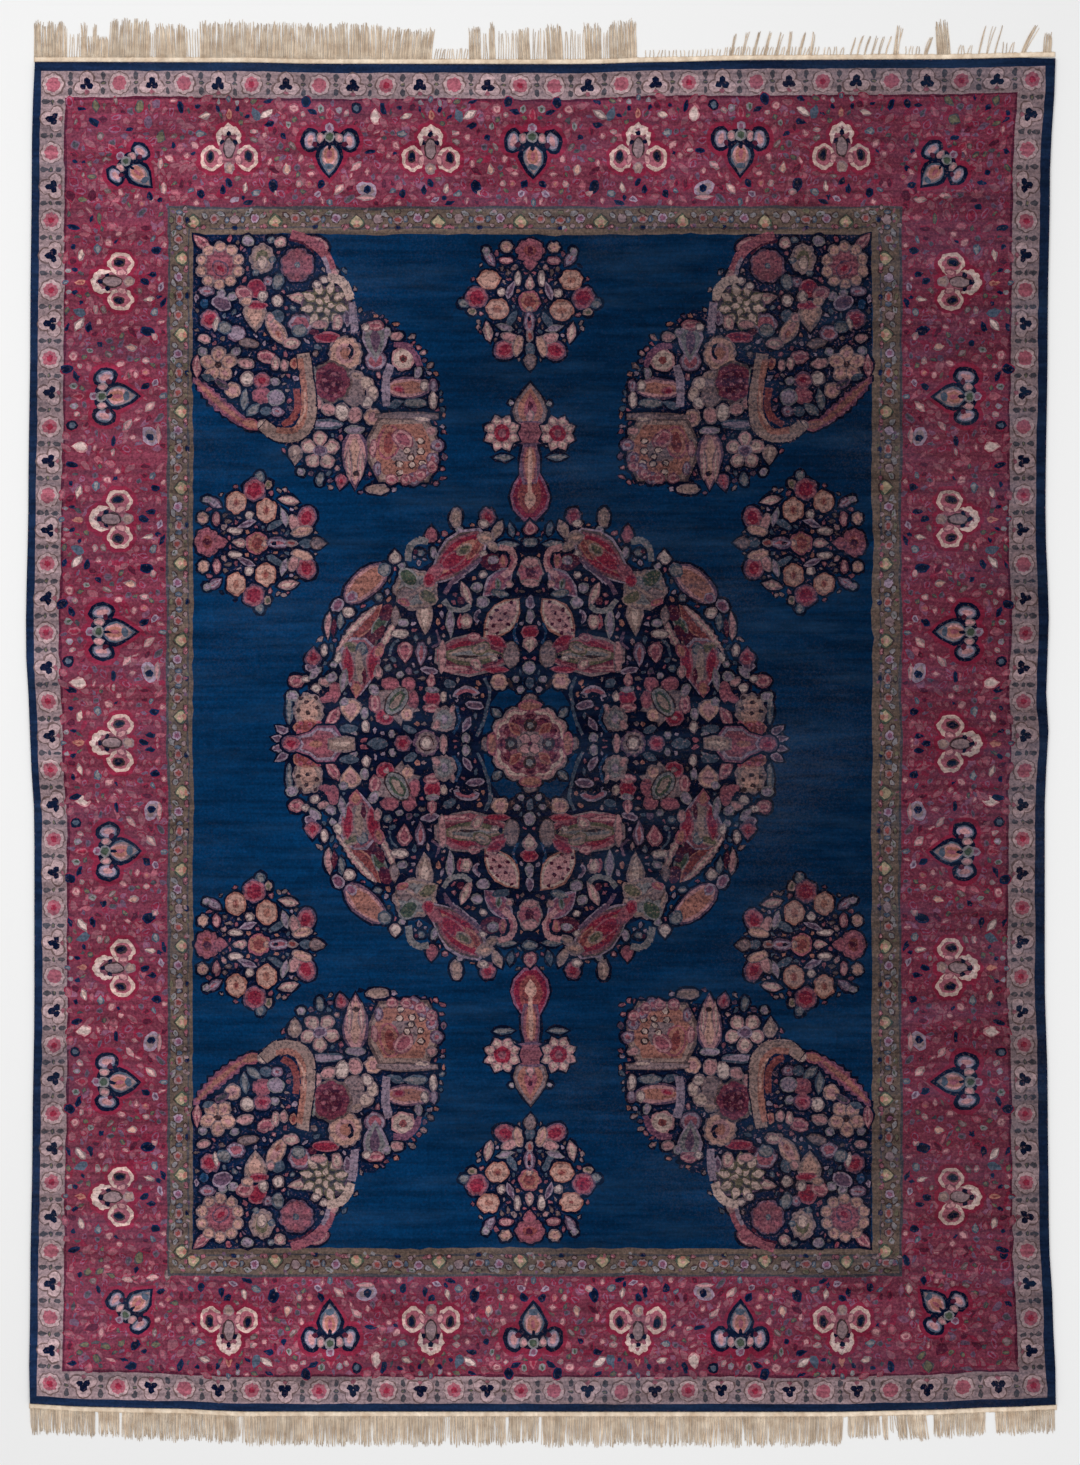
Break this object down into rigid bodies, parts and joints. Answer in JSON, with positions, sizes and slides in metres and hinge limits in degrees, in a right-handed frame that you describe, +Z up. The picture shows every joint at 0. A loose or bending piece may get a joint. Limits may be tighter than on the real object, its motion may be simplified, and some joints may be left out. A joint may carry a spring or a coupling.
{
  "type": "carpet",
  "caption": "Flat hand-knotted Indian wool carpet with a floral medallion field, wide border, and webbing with a worn cotton fringe at both ends.",
  "frame": {"origin": "middle of the underside, at the centre of the box round the carpet and both fringes", "axes": "+X across the carpet, +Y along it towards the worn fringe, +Z up out of the pile"},
  "size_m": [2.7718, 3.8646, 0.009],
  "materials": {
    "wool_pile": "hand-knotted wool pile in vegetable-dyed wine red, indigo, mauve, rose and cream",
    "cotton_warp": "undyed, aged cotton warp, flat woven at the ends and cut to a fringe"
  },
  "bodies": {
    "root": {"carpet": "wool_pile", "fringe_head": "cotton_warp", "fringe_foot": "cotton_warp"}
  },
  "joints": []
}
